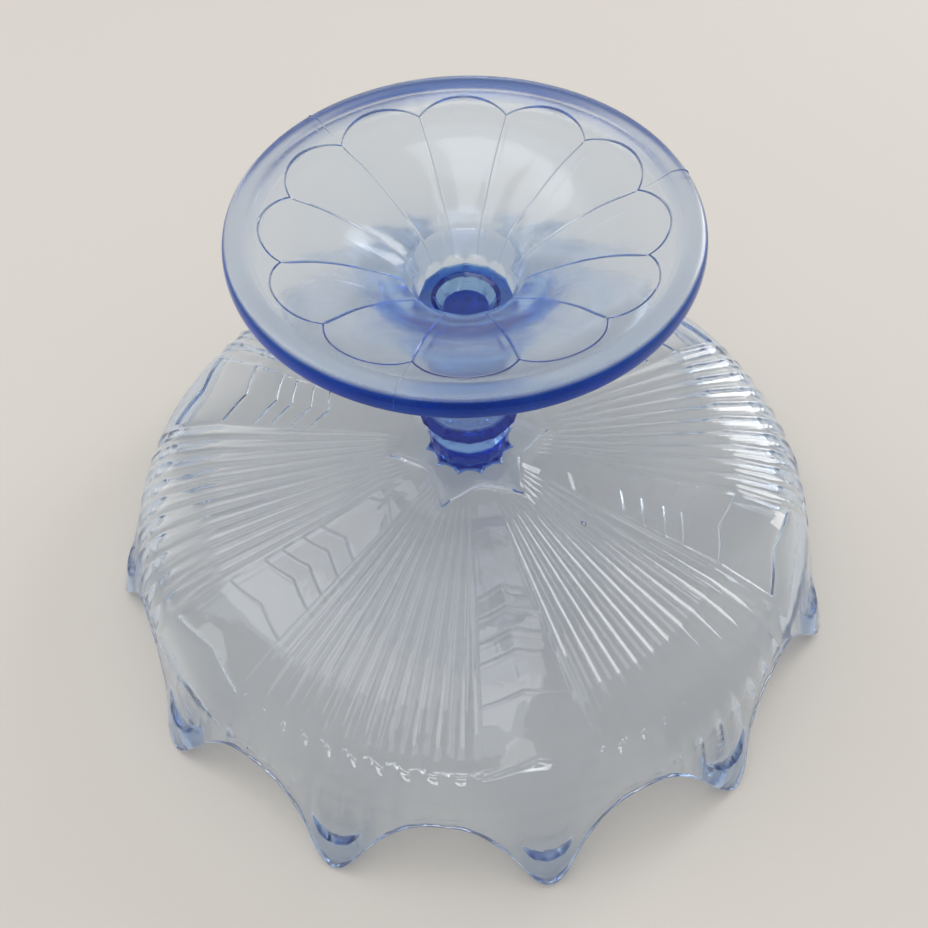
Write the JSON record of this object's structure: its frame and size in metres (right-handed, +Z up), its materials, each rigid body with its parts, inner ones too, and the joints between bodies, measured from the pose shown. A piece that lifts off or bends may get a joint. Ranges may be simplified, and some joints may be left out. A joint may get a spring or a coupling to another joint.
{
  "type": "footed bowl",
  "caption": "Pressed-glass footed bowl with a scalloped pointed rim, fluted fans and stepped chevron panels, and a petal-fluted trumpet foot.",
  "frame": {"origin": "centre of the circle of rim points, on the table the bowl is turned down on", "axes": "+Z up along the stem from the rim points to the foot's resting ring; X and Y across the bowl"},
  "size_m": [0.238, 0.238, 0.141],
  "materials": {
    "blue_glass": "clear pale blue pressed glass, fire polished"
  },
  "bodies": {
    "root": {"bowl": "blue_glass", "collar": "blue_glass", "stem": "blue_glass", "foot": "blue_glass"}
  },
  "joints": []
}
